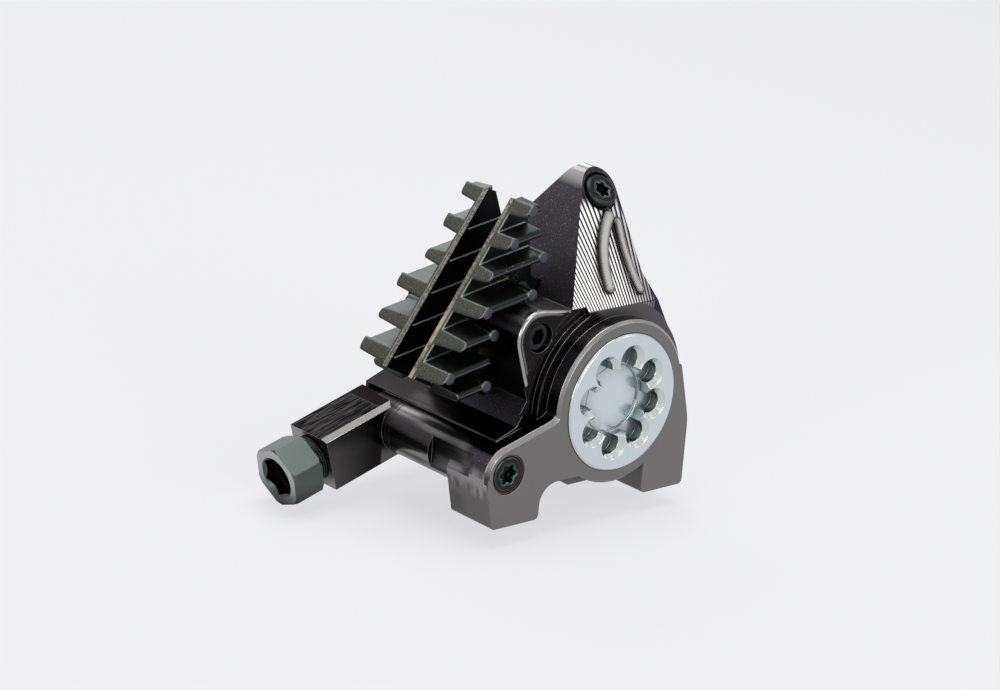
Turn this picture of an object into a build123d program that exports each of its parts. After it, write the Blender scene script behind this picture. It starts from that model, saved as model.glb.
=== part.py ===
from build123d import *
import os
from math import acos, atan2, cos, hypot, radians, sin, sqrt, tan

# Bicycle disc brake caliper for a flat mount frame, two opposed pistons, pads with cooling fins.
# Millimetres. X runs along the frame tube, from the hose arm to the right foot. Y runs from the
# capped side, through the rotor slot, to the far side. Z is up, square to the mounting plane.
# The origin is on the mounting plane, midway between the two mounting bolts.

# Driving dimensions
bolt_spacing = 34.0         # flat mount standard, between the two M5 bolts
rotor_offset = 12.4         # from the bolt line to the rotor's middle plane
block_half_depth = 14.5     # from the rotor's middle plane to the block's broad faces
boss_height = 3.0           # of the cap's boss and the feet above the block's broad face
piston_x = 5.2
piston_z = 17.75
piston_radius = 10.45
pad_angle = 55.1            # lean of the pads' outer edge, in degrees from X
hose_arm_drop = 17.0        # slope of the hose arm, in degrees below X

# Counts and angles
full_turn = 360.0
hex_sides = 6

# Clearances
running_gap = 0.05          # piston in bore, axle in plate
seat_gap = 0.05             # rings in their grooves, heads in their seats
pad_side_gap = 0.3          # plate to the side walls of the slot
pad_wall_gap = 0.25         # plate to the wall that the piston comes out of
overrun = 1.0               # how far a cut runs past the face that it opens

# Feet and mounting threads
foot_width = 10.3
foot_depth = 10.2
foot_corner = 0.9
foot_fillet = 3.6
foot_side_top = 12.0
foot_side_round = 12.0
foot_top_turn = 18.0        # direction of the point where the right foot leaves the boss
mount_thread_radius = 2.5   # M5, drawn at its outer diameter
mount_thread_depth = 6.4

# Main block, which the tower, ears and slot belong to
shoulder_radius = 16.45
ring_radius = 14.4
ring_length = 0.9
body_bottom = 3.35
web_bottom = 6.0
web_rise = 15.6             # slope of the web's top edge, in degrees from X
web_fillet = 2.5
ring_chamfer = 0.5
front_chamfer = 0.7

# Tower: its left flank leans, its right side is upright, both broad faces slope to a thin top
flank_angle = 59.2
flank_distance = 17.0       # from the piston axis to the flank
apex_radius = 3.7
apex_z = 50.6
tower_lean = 32.6           # of the tower's broad faces from upright, in degrees
tower_foot_z = 33.6
tower_bend_z = 38.0
tower_knee_x = 14.7
tower_root_x = 17.9
tower_root_z = 28.0
facet_low_x = -19.9
facet_low_z = 14.4
facet_high_z = 16.0

# Steps that the cutter left between the boss and the ear, from the boss outwards
valley_widths = (1.7, 1.6)
valley_depths = (1.3, 0.6)
valley_top_turn = 112.0     # direction in which the steps start, in degrees from X

# Curved ribs on the milled face of the tower: places of their ends and middle, from the piston axis
rib_height = 0.7
rib_fillet = 0.4
left_rib_width = 2.2
left_rib_top_x, left_rib_top_z = 4.0, 29.0
left_rib_middle_x, left_rib_middle_z = 0.5, 24.4
left_rib_end_x, left_rib_end_z = -0.7, 18.9
right_rib_width = 1.7
right_rib_top_x, right_rib_top_z = 5.6, 28.0
right_rib_middle_x, right_rib_middle_z = 5.1, 23.1
right_rib_end_x, right_rib_end_z = 5.9, 17.8

# Lug, cross drilling and its plug
lug_x = -19.3
lug_z = 9.3
lug_radius = 4.8
lug_flat = 3.9              # from the drilling's axis to the flat on the tube
lug_flat_start = 4.5
lug_flat_length = 10.5
drilling_radius = 1.2
plug_head_radius = 3.15
plug_head_length = 1.3
plug_thread_radius = 2.0
plug_length = 4.6
plug_sink = 0.1
plug_edge = 0.2
plug_seal_section = 0.27
socket_depth = 1.1
plug_socket_radius = 1.85
lobe_count = 6
lobe_share = 0.24           # of the socket's radius, for each lobe of a six-lobe socket

# Hose arm
arm_width = 9.9
arm_height = 9.5
arm_length = 15.9           # from the cross drilling to the end face
arm_near_offset = 9.8       # from the rotor's middle plane to the arm's near side
arm_edge = 1.5
arm_edge_drop = 0.3
port_radius = 4.0
port_depth = 9.0

# Hose nut and olive
nut_flats = 10.0
nut_length = 6.0
nut_standoff = 2.0          # of bare thread between the arm and the hexagon
nut_thread_radius = 3.9
nut_thread_length = 5.2     # inside the arm
nut_chamfer = 0.45
hose_hole_radius = 2.6
nut_socket_flats = 6.4
nut_turn = 21.5             # of the tightened nut about its axis, in degrees
nut_socket_depth = 2.2
nut_socket_chamfer = 0.6
olive_length = 3.2
olive_radius = 3.6
olive_taper = 0.6

# Bore cap
cap_radius = 12.1
cap_proud = 0.4
cap_flange = 2.4
cap_thread_radius = 11.4
cap_length = 4.4
cap_edge = 0.3
cap_pocket_radius = 6.35
cap_pocket_depth = 2.7
cap_floor_radius = 5.9
cap_floor_drop = 0.3
scallop_count = 8
scallop_start = 79.5        # direction of the first scallop, in degrees from X
scallop_pitch_radius = 7.4
scallop_radius = 1.9
scallop_mouth_radius = 2.75
scallop_mouth_depth = 0.9
cap_seal_section = 0.6

# Pistons and their seals
piston_length = 8.9
piston_wall = 2.6
piston_floor = 2.4
piston_edge = 0.35
seal_groove_depth = 1.4
seal_groove_width = 2.2
seal_groove_place = 2.2     # from the slot wall to the groove
bore_floor_gap = 0.4        # behind a piston that is pushed right back

# Pads
plate_gap = 5.6             # between the two plates' inner faces
plate_thickness = 1.45
fin_base = 0.55
pad_half_width = 10.5
pad_inner_reach = 9.4       # from the piston axis towards the rotor's centre
pad_corner = 3.0
friction_half_width = 10.2
friction_low = 8.9
friction_high = 8.3
friction_corner = 2.2
friction_thickness = 1.6
fin_base_start = 18.6       # from the piston axis to the foot of the fin base
fin_reach = 10.6            # from the axle to the ground ends of the fins
pad_edge_low = 15.3
pad_edge_high = 19.0
pad_shoulder_low = 21.2
pad_shoulder_high = 20.6
pad_neck_low = 14.4
pad_neck_low_drop = 5.7     # from the ground ends back to the neck
pad_back_top = 16.9
pad_back_top_drop = 5.5
pad_tip_drop = 1.7
plate_corner = 0.5

pad_travel = 1.0            # of each piston with its pad, from rest to worn

# Fins: each is given by where it meets the outer edge and how far it runs in
fin_angle = 9.9             # direction of the air flow, in degrees from X
fin_root = 2.0
fin_tip = 1.35
short_fin_height = 4.1
long_fin_height = 6.7
pillar_radius = 0.98
fin_pitch = 6.18
fin_first = 17.5            # place of the top fin along the outer edge, from the piston axis
fin_count = 6
fin_run_lengths = (2.6, 7.0, 11.5, 10.8, 6.5, 9.6)
short_fin_count = 3
low_fin_run = 4.2
low_fin_place = 13.2
low_fin_drop = 5.9
rivet_radius = 1.1
rivet_head_radius = 1.7
rivet_spread = 6.2
rivet_out = 20.6

# Pad axle, clip and spring
axle_radius = 1.6
axle_out = 21.5             # from the piston axis
axle_shift = 1.0            # along the pads, towards the top
axle_head_radius = 2.45
axle_head_length = 2.4
axle_sink = 0.7
axle_edge = 0.2
axle_socket_flats = 2.5
axle_plate_gap = 0.35
ear_radius = 4.7
ear_base_half = 9.0
ear_edge = 0.6
clip_thickness = 0.6
clip_radius = 2.5
clip_groove_depth = 0.45
clip_play = 0.1
spring_thickness = 0.25
spring_half_width = 3.4
spring_low = 10.2           # from the piston axis to the wings' ends
spring_high = 24.6
spring_gap = 0.3            # round the axle, and to the plates when the pads are closed

# Bleed screw
bleed_tilt = 42.5           # of the screw's axis above the horizontal
bleed_head_radius = 3.05
bleed_head_length = 1.5
bleed_head_edge = 0.5
bleed_seat_radius = 3.4
bleed_seat_depth = 0.8
bleed_thread_radius = 2.0
bleed_length = 6.5
bleed_cone = 1.4
bleed_socket_radius = 1.5
bleed_seal_section = 0.35

# Rotor slot
rotor_radius = 80.0
rotor_gap = 1.5             # from the rotor's edge to the bottom of its slot
pad_centre_radius = 72.0
rotor_slot_half = 2.6

# How a primitive sits on its plane: centred on its axis, and rising from the plane
standing = (Align.CENTER, Align.CENTER, Align.MIN)

# Places that follow from the values above
tower_slope = tan(radians(tower_lean))
block_front = rotor_offset - block_half_depth
front_y = block_front - boss_height
block_rear = rotor_offset + block_half_depth
foot_rear = foot_depth / 2
pad_outer_reach = axle_out + fin_reach
slot_half = plate_gap / 2 + plate_thickness + pad_wall_gap
bore_radius = piston_radius + running_gap
groove_radius = bore_radius + seal_groove_depth
plate_outer_half = plate_gap / 2 + plate_thickness
piston_back_half = plate_outer_half + piston_length
bore_floor_half = piston_back_half + bore_floor_gap
arm_near = rotor_offset + arm_near_offset
arm_far = arm_near + arm_width
arm_middle = (arm_near + arm_far) / 2
along_pad = (cos(radians(pad_angle)), sin(radians(pad_angle)))
out_of_pad = (-sin(radians(pad_angle)), cos(radians(pad_angle)))
flank_out = (-sin(radians(flank_angle)), cos(radians(flank_angle)))
apex_x = piston_x + ((apex_z - piston_z) * flank_out[1] - flank_distance + apex_radius) / -flank_out[0]
tower_right = apex_x + apex_radius
tower_top_half = block_half_depth - (apex_z - tower_foot_z) * tower_slope


def slab(outline, y_low, y_high):
    """A prism along Y from an outline drawn in X and Z."""
    plane = Plane(origin=(0, y_high, 0), x_dir=(1, 0, 0), z_dir=(0, -1, 0))
    return extrude(plane * outline, amount=y_high - y_low, dir=plane.z_dir)


def pad_slab(outline, y_low, y_high):
    """A prism along Y from an outline drawn along and out of the pads, from the piston axis."""
    side = (along_pad[0], 0, along_pad[1])
    plane = Plane(origin=(piston_x, y_high, piston_z), x_dir=side, z_dir=(0, -1, 0))
    return extrude(plane * outline, amount=y_high - y_low, dir=plane.z_dir)


def rod(x, z, radius, y_low, y_high):
    """A cylinder along Y."""
    return slab(Pos(x, z) * Circle(radius), y_low, y_high)


def tube(x, z, outer, inner, y_low, y_high):
    """A ring along Y."""
    return slab(Pos(x, z) * (Circle(outer) - Circle(inner)), y_low, y_high)


def pad_place(along, out):
    """X and Z of a point given along and out of the pads."""
    return (
        piston_x + along * along_pad[0] + out * out_of_pad[0],
        piston_z + along * along_pad[1] + out * out_of_pad[1],
    )


def mirrored(shape):
    """The same shape on the other side of the rotor."""
    return mirror(shape, about=Plane(origin=(0, rotor_offset, 0), z_dir=(0, 1, 0)))


def flank_x(z):
    """X of the tower's left flank at a height."""
    return piston_x + (flank_distance - (z - piston_z) * flank_out[1]) / flank_out[0]


def block_outline():
    """Front view of the block: shoulder disc, leaning tower and the bridge at its lower left."""
    tower = Polygon(
        (facet_low_x, facet_low_z),
        (lug_x, web_bottom),
        (piston_x, web_bottom),
        (tower_root_x, tower_root_z),
        (tower_knee_x, tower_foot_z),
        (tower_right, tower_bend_z),
        (tower_right, apex_z),
        (apex_x, apex_z),
        (apex_x + apex_radius * flank_out[0], apex_z + apex_radius * flank_out[1]),
        (flank_x(facet_high_z), facet_high_z),
        align=None,
    )
    disc = Pos(piston_x, piston_z) * Circle(shoulder_radius)
    side = 2 * shoulder_radius
    below = Pos(piston_x, body_bottom - shoulder_radius) * Rectangle(side, side)
    return tower + Pos(apex_x, apex_z) * Circle(apex_radius) + (disc - below)


def tower_wedge():
    """The block's end view: upright sides below, both faces sloping in above."""
    top = tower_foot_z + block_half_depth / tower_slope
    outline = Polygon(
        (rotor_offset - block_half_depth, -overrun),
        (rotor_offset + block_half_depth, -overrun),
        (rotor_offset + block_half_depth, tower_foot_z),
        (rotor_offset, top),
        (rotor_offset - block_half_depth, tower_foot_z),
        align=None,
    )
    plane = Plane(origin=(-bolt_spacing, 0, 0), x_dir=(0, 1, 0), z_dir=(1, 0, 0))
    return extrude(plane * outline, amount=2 * bolt_spacing, dir=plane.z_dir)


def touch_point(start, centre, radius, side):
    """Point where a line from the start touches a circle on one side of it (1 or -1)."""
    away = hypot(start[0] - centre[0], start[1] - centre[1])
    turn = atan2(start[1] - centre[1], start[0] - centre[0]) + side * acos(radius / away)
    return (centre[0] + radius * cos(turn), centre[1] + radius * sin(turn))


def left_front():
    """Left foot and the web that joins it to the cap's boss, with the web's bright top chamfer."""
    left = -bolt_spacing / 2 - foot_width / 2
    right = left + foot_width
    slope = radians(web_rise)
    web_top = (lug_x - lug_radius * sin(slope), lug_z + lug_radius * cos(slope))
    root_x = piston_x - ring_radius
    root_z = web_top[1] + (root_x - web_top[0]) * tan(slope)
    outline = Polygon(
        (left, 0),
        (right, 0),
        (right, web_bottom),
        (piston_x, web_bottom),
        (piston_x, piston_z),
        (root_x + web_fillet, piston_z + ring_radius / 2),
        (root_x - seat_gap, root_z),
        web_top,
        touch_point((left, 0), (lug_x, lug_z), lug_radius, -1),
        align=None,
    )
    corners = outline.vertices()
    feet = [v for v in corners if v.Y < foot_corner]
    outline = fillet(feet, foot_corner)
    corners = outline.vertices()
    arch = [v for v in corners if abs(v.X - right) + abs(v.Y - web_bottom) < foot_corner]
    outline = fillet(arch, foot_fillet)
    corners = outline.vertices()
    root = [v for v in corners if abs(v.X - root_x) + abs(v.Y - root_z) < foot_corner]
    outline = fillet(root, web_fillet)
    front = slab(outline, front_y, foot_rear)
    rim = [
        e
        for e in front.faces().sort_by(Axis.Y)[0].edges()
        if e.center().Z > lug_z + lug_radius / 2 and web_top[0] < e.center().X < root_x + web_fillet
    ]
    return chamfer(rim, front_chamfer)


def right_foot():
    """Right foot, whose outer side runs up to meet the shoulder disc."""
    inner = bolt_spacing / 2 - foot_width / 2
    outer = piston_x + shoulder_radius
    turn = radians(foot_top_turn)
    outline = Polygon(
        (inner, 0),
        (outer, 0),
        (outer, foot_side_top),
        (piston_x + ring_radius * cos(turn), piston_z + ring_radius * sin(turn)),
        (inner, piston_z),
        align=None,
    )
    outline = fillet([v for v in outline.vertices() if v.Y < foot_corner], foot_corner)
    shoulder = [v for v in outline.vertices() if v.X > outer - seat_gap and v.Y > foot_side_top - foot_corner]
    return slab(fillet(shoulder, foot_side_round), front_y, foot_rear)


def ear_outline():
    """Rounded ear that holds one end of the pad axle, drawn along and out of the pads."""
    base = flank_distance - overrun
    centre = (axle_shift, axle_out)
    low, high = (-ear_base_half, base), (ear_base_half, base)
    wedge = Polygon(
        low,
        high,
        touch_point(high, centre, ear_radius, 1),
        centre,
        touch_point(low, centre, ear_radius, -1),
        align=None,
    )
    return wedge + Pos(*centre) * Circle(ear_radius)


def ear_bar():
    """The bar that both ears are cut from, its outer edges rounded."""
    bar = pad_slab(ear_outline(), block_front, block_rear)
    rims = bar.faces().sort_by(Axis.Y)
    edges = [e for face in (rims[0], rims[-1]) for e in face.edges()]
    low = min(pad_out(e.center()) for e in edges)
    return fillet([e for e in edges if pad_out(e.center()) > low + seat_gap], ear_edge)


def pad_out(point):
    """How far out of the pads a point lies, from the piston axis."""
    return (point.X - piston_x) * out_of_pad[0] + (point.Z - piston_z) * out_of_pad[1]


def arm_plane():
    """Plane square to the hose arm at the cross drilling, looking out along the arm."""
    drop = radians(hose_arm_drop)
    return Plane(origin=(lug_x, arm_middle, lug_z), x_dir=(0, -1, 0), z_dir=(-cos(drop), 0, -sin(drop)))


def arm_solid():
    """The hose arm with its flattened near top edge and rounded corners."""
    half_w = arm_width / 2
    half_h = arm_height / 2
    up = 1 if (arm_plane().y_dir.Z > 0) else -1
    outline = Polygon(
        (-half_w, -up * half_h),
        (half_w, -up * half_h),
        (half_w, up * (half_h - arm_edge_drop)),
        (half_w - arm_edge, up * half_h),
        (-half_w, up * half_h),
        align=None,
    )
    return extrude(arm_plane() * outline, amount=arm_length, dir=arm_plane().z_dir)


def rib_solid(top, middle, end, width):
    """A raised rib with a curved middle line, square to the tower's milled face."""
    face_turn = sqrt(1 + tower_slope**2)
    foot_x, foot_z = piston_x, tower_foot_z
    plane = Plane(
        origin=(foot_x, block_front, foot_z),
        x_dir=(1, 0, 0),
        z_dir=(0, -1 / face_turn, tower_slope / face_turn),
    )
    points = [(x, (z + piston_z - foot_z) * face_turn) for x, z in (top, middle, end)]
    line = ThreePointArc(*points)
    outline = trace(line, width) + Pos(*points[0]) * Circle(width / 2) + Pos(*points[2]) * Circle(width / 2)
    rib = extrude(plane * outline, amount=rib_height, both=True)
    crest = rib.faces().sort_by(Axis((0, 0, 0), (0, -1, tower_slope)))[-1]
    return fillet(crest.edges(), rib_fillet)


def bleed_plane(depth=0):
    """Plane of the bleed screw's seat, looking out along the screw, at a depth below it."""
    tilt = radians(bleed_tilt)
    seat_y = rotor_offset - tower_top_half
    return Plane(
        origin=(apex_x, seat_y + depth * cos(tilt), apex_z - depth * sin(tilt)),
        x_dir=(1, 0, 0),
        z_dir=(0, -cos(tilt), sin(tilt)),
    )


def boss():
    """The cap's round boss with its cone, cut flat at the bottom like the block."""
    ring = rod(piston_x, piston_z, ring_radius, front_y, block_front)
    ring = chamfer(ring.edges().group_by(Axis.Y)[0], ring_chamfer)
    cone_length = block_front - front_y - ring_length
    cone = Plane(origin=(piston_x, block_front, piston_z), z_dir=(0, -1, 0)) * Cone(
        shoulder_radius, ring_radius, cone_length, align=standing
    )
    below = Pos(piston_x, block_front, body_bottom) * Box(
        2 * shoulder_radius, 2 * shoulder_radius, shoulder_radius,
        align=(Align.CENTER, Align.CENTER, Align.MAX),
    )
    return ring + (cone - below)


def caliper_body():
    """The machined block, first as added forms, then with its bores, slots and threads cut."""
    body = slab(block_outline(), block_front, block_rear) & tower_wedge()
    body += ear_bar()
    for form in (boss(), mirrored(boss()), left_front(), right_foot(), lug_tube(), arm_solid(), arm_root()):
        body += form
    body += rib_solid(
        (left_rib_top_x, left_rib_top_z),
        (left_rib_middle_x, left_rib_middle_z),
        (left_rib_end_x, left_rib_end_z),
        left_rib_width,
    )
    body += rib_solid(
        (right_rib_top_x, right_rib_top_z),
        (right_rib_middle_x, right_rib_middle_z),
        (right_rib_end_x, right_rib_end_z),
        right_rib_width,
    )
    openings = (bores(), slots(), axle_holes(), drillings(), mount_threads(), hose_port(), bleed_hole())
    for cut in (valleys(), *openings):
        body -= cut
    return body


def lug_tube():
    """The round tube of the cross drilling, with a flat milled on its outer side."""
    whole = rod(lug_x, lug_z, lug_radius, front_y, arm_middle)
    whole = chamfer(whole.edges().group_by(Axis.Y)[0], front_chamfer)
    flat = Polygon(
        (lug_x - lug_flat, -overrun),
        (lug_x - 2 * lug_radius, -overrun),
        (lug_x - 2 * lug_radius, lug_z + 2 * lug_radius),
        (lug_x - lug_flat, lug_z + 2 * lug_radius),
        align=None,
    )
    return whole - slab(flat, front_y + lug_flat_start, front_y + lug_flat_start + lug_flat_length)


def arm_root():
    """The bridge behind the arm, whose sloping facet runs up to the flank."""
    outline = Polygon(
        (facet_low_x, facet_low_z),
        (flank_x(facet_high_z), facet_high_z),
        (piston_x - ring_radius + lug_radius, facet_high_z),
        (piston_x - ring_radius + lug_radius, web_bottom),
        (lug_x, lug_z - arm_height / 2),
        (facet_low_x, lug_z),
        align=None,
    )
    return slab(outline, rotor_offset + slot_half, arm_far)


def bores():
    """Both piston bores with their seal grooves, and the near bore's opening for the cap."""
    near_wall = rotor_offset - slot_half
    through = rod(piston_x, piston_z, bore_radius, front_y - overrun, near_wall + overrun)
    seat_depth = cap_flange - cap_proud + cap_seal_section
    seat = rod(piston_x, piston_z, cap_radius + seat_gap, front_y - overrun, front_y + seat_depth)
    thread = rod(
        piston_x, piston_z, cap_thread_radius + seat_gap, front_y - overrun,
        front_y - cap_proud + cap_length + seat_gap,
    )
    groove_end = near_wall - seal_groove_place
    groove = rod(piston_x, piston_z, groove_radius, groove_end - seal_groove_width, groove_end)
    blind = rod(
        piston_x, piston_z, bore_radius, rotor_offset, rotor_offset + bore_floor_half
    )
    return through + seat + thread + groove + blind + mirrored(groove)


def slots():
    """The pads' slot, open at the flank and at the rotor's side, and the rotor's own slot."""
    half = pad_half_width + pad_side_gap
    long = 2 * rotor_radius
    pad_slot = pad_slab(Rectangle(2 * half, long), rotor_offset - slot_half, rotor_offset + slot_half)
    centre = pad_place(0, -pad_centre_radius)
    rotor_slot = rod(
        centre[0], centre[1], rotor_radius + rotor_gap, rotor_offset - rotor_slot_half,
        rotor_offset + rotor_slot_half,
    )
    return pad_slot + rotor_slot


def valleys():
    """Cutter steps round the boss's left side, which leave the ear standing proud of them."""
    ear_x, ear_z = pad_place(axle_shift, axle_out)
    reach = shoulder_radius + valley_widths[0] + valley_widths[1]
    turn = radians(valley_top_turn)
    sector = Polygon(
        (piston_x, piston_z),
        (piston_x + 2 * reach * cos(turn), piston_z + 2 * reach * sin(turn)),
        (piston_x - 2 * reach, piston_z + 2 * reach),
        (piston_x - 2 * reach, web_bottom),
        align=None,
    )
    cuts = Part()
    inner = shoulder_radius
    for width, depth in zip(valley_widths, valley_depths):
        ring = Pos(piston_x, piston_z) * (Circle(inner + width) - Circle(inner - seat_gap))
        ring -= Pos(ear_x, ear_z) * Circle(axle_head_radius + overrun)
        cuts += slab(ring & sector, block_front - overrun, block_front + depth)
        inner += width
    return cuts


def axle_holes():
    """The pad axle's hole through both ears, with the seat of its head in the near one."""
    x, z = pad_place(axle_shift, axle_out)
    hole = rod(x, z, axle_radius + running_gap, block_front - overrun, block_rear + overrun)
    seat_floor = block_front + axle_sink + axle_head_length
    seat = rod(x, z, axle_head_radius + 2 * seat_gap, block_front - overrun, seat_floor)
    return hole + seat


def passage(start, end):
    """A straight drilling between two points."""
    way = Vector(*end) - Vector(*start)
    return Plane(origin=start, z_dir=way) * Cylinder(
        drilling_radius, way.length, align=standing
    )


def drillings():
    """The cross drilling with its plug's seat, its branches to both bores and the bleed drilling."""
    long = rod(lug_x, lug_z, drilling_radius, front_y - overrun, arm_middle)
    thread = rod(lug_x, lug_z, plug_thread_radius + seat_gap, front_y - overrun, front_y + plug_length)
    seat = rod(
        lug_x, lug_z, plug_head_radius + plug_seal_section + seat_gap, front_y - overrun,
        front_y + plug_sink + plug_head_length,
    )
    behind = front_y - cap_proud + cap_length + drilling_radius
    bore_side = piston_x - sqrt(bore_radius**2 - (piston_z - lug_z) ** 2)
    near = passage((lug_x, behind, lug_z), (bore_side + drilling_radius, behind, lug_z))
    tip = bleed_plane(bleed_length).origin
    bleed = passage(tuple(tip), (piston_x, behind, piston_z + bore_radius - drilling_radius))
    return long + thread + seat + near + mirrored(near) + bleed


def mount_threads():
    """The two threaded holes of the flat mount, with a small lead-in."""
    cuts = Part()
    for x in (-bolt_spacing / 2, bolt_spacing / 2):
        hole = Pos(x, 0, -overrun) * Cylinder(
            mount_thread_radius, mount_thread_depth + overrun, align=standing
        )
        cuts += hole
    return cuts


def hose_port():
    """The threaded port in the arm's end, narrowing to the drilling."""
    plane = arm_plane()
    port = plane * Pos(0, 0, arm_length - port_depth) * Cylinder(
        port_radius, port_depth + overrun, align=standing
    )
    feed = plane * Cylinder(drilling_radius, arm_length, align=standing)
    return port + feed


def bleed_hole():
    """The bleed screw's seat and threaded hole, square to the screw."""
    seat = bleed_plane(bleed_seat_depth) * Cylinder(
        bleed_seat_radius, bleed_seat_depth + apex_radius, align=standing
    )
    hole = bleed_plane(bleed_length + bleed_cone) * Cylinder(
        bleed_thread_radius + seat_gap, bleed_length + bleed_cone, align=standing
    )
    return seat + hole


def six_lobe(radius):
    """Outline of a six-lobe socket."""
    outline = Circle(radius * (1 - lobe_share))
    for k in range(lobe_count):
        turn = radians(full_turn * k / lobe_count)
        reach = radius * (1 - lobe_share)
        outline += Pos(reach * cos(turn), reach * sin(turn)) * Circle(radius * lobe_share)
    return outline


def bore_cap():
    """Screw-in cap: flange, threaded part, a round pocket and scallops with conical mouths."""
    front = front_y - cap_proud
    cap = rod(piston_x, piston_z, cap_radius, front, front + cap_flange)
    cap = chamfer(cap.edges().group_by(Axis.Y)[0], cap_edge)
    cap += rod(piston_x, piston_z, cap_thread_radius, front, front + cap_length)
    cap -= rod(piston_x, piston_z, cap_pocket_radius, front - overrun, front + cap_pocket_depth)
    cap -= rod(
        piston_x, piston_z, cap_floor_radius, front - overrun, front + cap_pocket_depth + cap_floor_drop
    )
    slope = (scallop_mouth_radius - scallop_radius) / scallop_mouth_depth
    for k in range(scallop_count):
        turn = radians(scallop_start + full_turn * k / scallop_count)
        x = piston_x + scallop_pitch_radius * cos(turn)
        z = piston_z + scallop_pitch_radius * sin(turn)
        cap -= rod(x, z, scallop_radius, front - overrun, front + cap_pocket_depth)
        mouth = Plane(origin=(x, front + scallop_mouth_depth, z), z_dir=(0, -1, 0)) * Cone(
            scallop_radius,
            scallop_mouth_radius + slope * overrun,
            scallop_mouth_depth + overrun,
            align=standing,
        )
        cap -= mouth
    return cap


def bore_cap_seal():
    """Flat ring between the cap's flange and the bottom of its seat."""
    low = front_y - cap_proud + cap_flange
    return tube(
        piston_x, piston_z, cap_radius, cap_thread_radius + 2 * seat_gap, low, low + cap_seal_section
    )


def near_piston():
    """A cup piston, open towards its pad."""
    front = rotor_offset - plate_outer_half
    back = front - piston_length
    cup = rod(piston_x, piston_z, piston_radius, back, front)
    cup = chamfer(cup.edges().group_by(Axis.Y)[0], piston_edge)
    return cup - rod(piston_x, piston_z, piston_radius - piston_wall, back + piston_floor, front + overrun)


def near_piston_seal():
    """Square-section ring in the near bore's groove."""
    groove_end = rotor_offset - slot_half - seal_groove_place
    return tube(
        piston_x,
        piston_z,
        groove_radius - seat_gap,
        bore_radius,
        groove_end - seal_groove_width + seat_gap,
        groove_end - seat_gap,
    )


def plate_outline():
    """Outline of a pad plate, drawn along and out of the pads from the piston axis."""
    outline = Polygon(
        (-pad_half_width, -pad_inner_reach),
        (pad_half_width, -pad_inner_reach),
        (pad_half_width, pad_shoulder_high),
        (pad_back_top, pad_outer_reach - pad_back_top_drop),
        (pad_edge_high + plate_corner, pad_outer_reach - pad_tip_drop),
        (pad_edge_high, pad_outer_reach),
        (-pad_edge_low, pad_outer_reach),
        (-pad_neck_low, pad_outer_reach - pad_neck_low_drop),
        (-pad_half_width, pad_shoulder_low),
        align=None,
    )
    low = [v for v in outline.vertices() if v.Y < 0]
    return fillet(low, pad_corner)


def axle_slot():
    """The plate's hole for the axle."""
    return Pos(axle_shift, axle_out) * Circle(axle_radius + axle_plate_gap)


def rivet_places():
    """Places of the two rivets, along and out of the pads."""
    return ((axle_shift - rivet_spread, rivet_out), (axle_shift + rivet_spread, rivet_out))


def near_backplate():
    """Plate of the near pad: full thickness at the piston, thinner under the fin base."""
    inner = rotor_offset - plate_gap / 2
    outer = inner - plate_thickness
    long = 2 * pad_outer_reach
    outline = plate_outline() - axle_slot()
    for along, out in rivet_places():
        outline -= Pos(along, out) * Circle(rivet_radius + seat_gap)
    fins_part = Pos(0, fin_base_start + long / 2) * Rectangle(2 * long, long)
    thick = pad_slab(outline - fins_part, outer, inner)
    return thick + pad_slab(outline, outer + fin_base, inner)


def near_friction():
    """Block of friction material bonded to the near plate."""
    low = rotor_offset - plate_gap / 2
    height = friction_low + friction_high
    outline = Pos(0, (friction_high - friction_low) / 2) * RectangleRounded(
        2 * friction_half_width, height, friction_corner
    )
    return pad_slab(outline, low, low + friction_thickness)


def fin_shape(along, out, run, height):
    """One fin, thicker at its root, with a rounded rim, ground off square at the outer edge."""
    turn = fin_angle - pad_angle
    step = (cos(radians(turn)), sin(radians(turn)))
    start = -fin_root
    outer = rotor_offset - plate_outer_half + fin_base
    x_dir = (cos(radians(fin_angle)), 0, sin(radians(fin_angle)))
    x, z = pad_place(along + start * step[0], out + start * step[1])
    section = Plane(origin=(x, outer, z), x_dir=(0, -1, 0), z_dir=x_dir)
    reach = height + fin_base
    tip = fin_tip / 2
    profile = Polygon(
        (0, -fin_root / 2), (reach - tip, -tip), (reach - tip, tip), (0, fin_root / 2), align=None
    )
    profile += Pos(reach - tip, 0) * Circle(tip)
    return extrude(section * profile, amount=run - start, dir=section.z_dir)


def pillar(along, out, height):
    """Round ejector pad at a fin's rim."""
    x, z = pad_place(along, out)
    outer = rotor_offset - plate_outer_half
    return rod(x, z, pillar_radius, outer - height - seat_gap, outer)


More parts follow.
